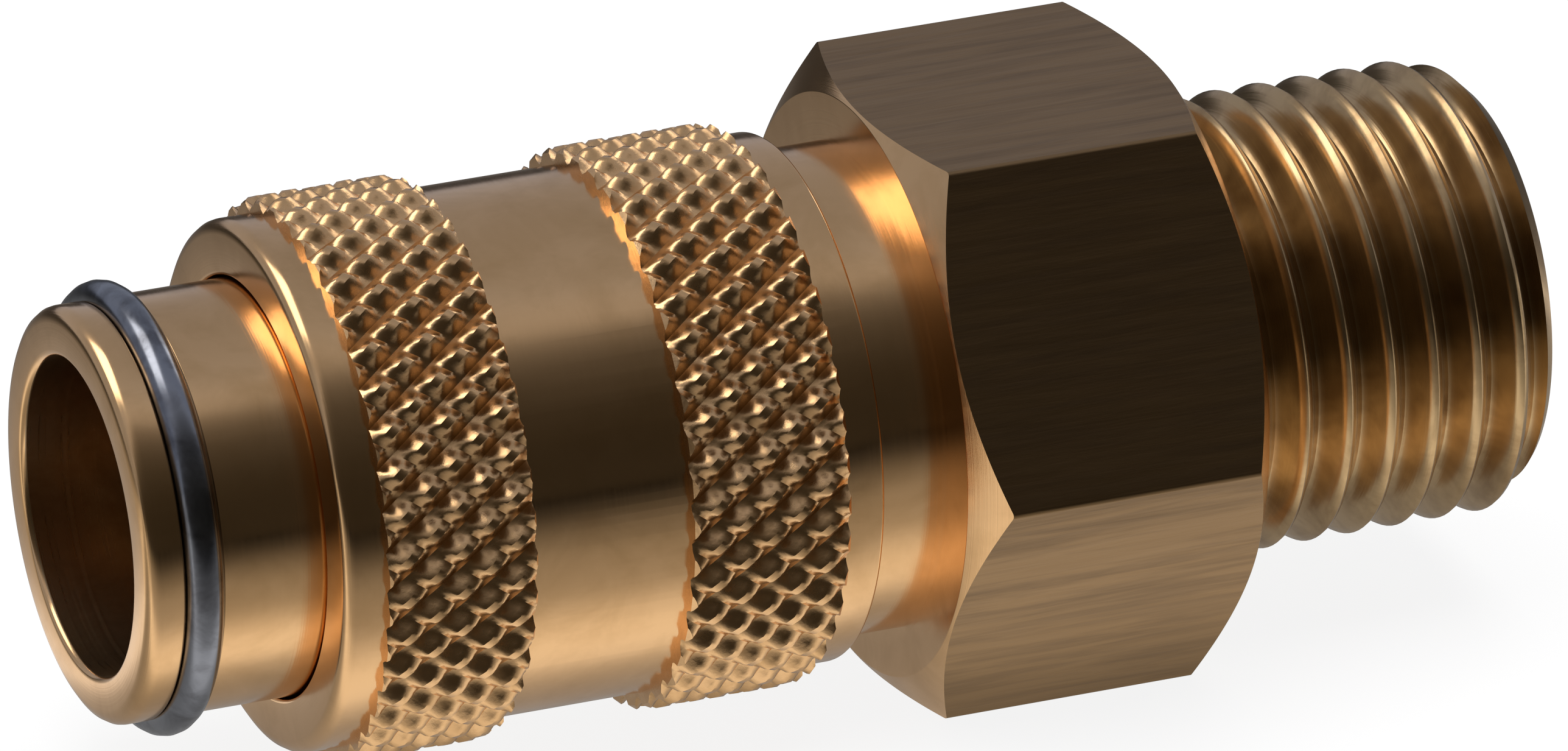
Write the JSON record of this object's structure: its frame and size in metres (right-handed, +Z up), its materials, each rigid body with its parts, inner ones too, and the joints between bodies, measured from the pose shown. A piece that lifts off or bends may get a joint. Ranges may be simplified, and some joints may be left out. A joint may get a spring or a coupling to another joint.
{
  "type": "quick coupling socket for a liquid coolant line",
  "caption": "Ball-locking quick coupling socket with a knurled sliding sleeve, a spring-loaded valve, a hexagon and a male threaded end.",
  "frame": {"origin": "on the resting plane, below the middle of the coupling's length", "axes": "+X along the coupling's axis from the plug end to the threaded end, +Z up, away from the hexagon flat that it lies on"},
  "size_m": [0.0426, 0.0196, 0.017],
  "materials": {
    "body_brass": "turned brass",
    "adapter_brass": "drawn hexagon bar with turned ends",
    "sleeve_brass": "turned and knurled brass",
    "valve_brass": "turned brass",
    "ring_steel": "drawn spring wire",
    "spring_steel": "drawn spring wire",
    "ball_steel": "ground and polished",
    "seal_rubber": "smooth moulded rubber"
  },
  "bodies": {
    "coupling_body": {"socket_body": "body_brass", "adapter_body": "adapter_brass", "snap_ring": "ring_steel", "plug_seal": "seal_rubber", "body_seal": "seal_rubber", "sleeve_spring": "spring_steel", "valve_spring": "spring_steel"},
    "sleeve": {"locking_sleeve": "sleeve_brass"},
    "valve": {"valve_piston": "valve_brass", "valve_seal": "seal_rubber"},
    "ball_1": {"locking_ball_1": "ball_steel"},
    "ball_2": {"locking_ball_2": "ball_steel"},
    "ball_3": {"locking_ball_3": "ball_steel"},
    "ball_4": {"locking_ball_4": "ball_steel"},
    "ball_5": {"locking_ball_5": "ball_steel"},
    "ball_6": {"locking_ball_6": "ball_steel"}
  },
  "joints": [
    {"name": "sleeve_slide", "type": "slide", "parent": "coupling_body", "child": "sleeve", "axis": [-1, 0, 0], "range_m": [0, 0.0029], "stiffness_N_per_m": 200, "deforming": ["sleeve_spring"]},
    {"name": "valve_slide", "type": "slide", "parent": "coupling_body", "child": "valve", "axis": [1, 0, 0], "range_m": [0, 0.00435], "deforming": ["valve_spring"]},
    {"name": "ball_1_slide", "type": "slide", "parent": "coupling_body", "child": "ball_1", "axis": [0, -0.5, 0.866], "range_m": [0, 0.00083]},
    {"name": "ball_2_slide", "type": "slide", "parent": "coupling_body", "child": "ball_2", "axis": [0, -1, 0], "range_m": [0, 0.00083]},
    {"name": "ball_3_slide", "type": "slide", "parent": "coupling_body", "child": "ball_3", "axis": [0, -0.5, -0.866], "range_m": [0, 0.00083]},
    {"name": "ball_4_slide", "type": "slide", "parent": "coupling_body", "child": "ball_4", "axis": [0, 0.5, -0.866], "range_m": [0, 0.00083]},
    {"name": "ball_5_slide", "type": "slide", "parent": "coupling_body", "child": "ball_5", "axis": [0, 1, 0], "range_m": [0, 0.00083]},
    {"name": "ball_6_slide", "type": "slide", "parent": "coupling_body", "child": "ball_6", "axis": [0, 0.5, 0.866], "range_m": [0, 0.00083]}
  ],
  "couplings": [
    {"joint": "valve_slide", "follows": "sleeve_slide", "ratio": 1.5},
    {"joint": "ball_1_slide", "follows": "sleeve_slide", "ratio": 0.28571},
    {"joint": "ball_2_slide", "follows": "sleeve_slide", "ratio": 0.28571},
    {"joint": "ball_3_slide", "follows": "sleeve_slide", "ratio": 0.28571},
    {"joint": "ball_4_slide", "follows": "sleeve_slide", "ratio": 0.28571},
    {"joint": "ball_5_slide", "follows": "sleeve_slide", "ratio": 0.28571},
    {"joint": "ball_6_slide", "follows": "sleeve_slide", "ratio": 0.28571}
  ]
}
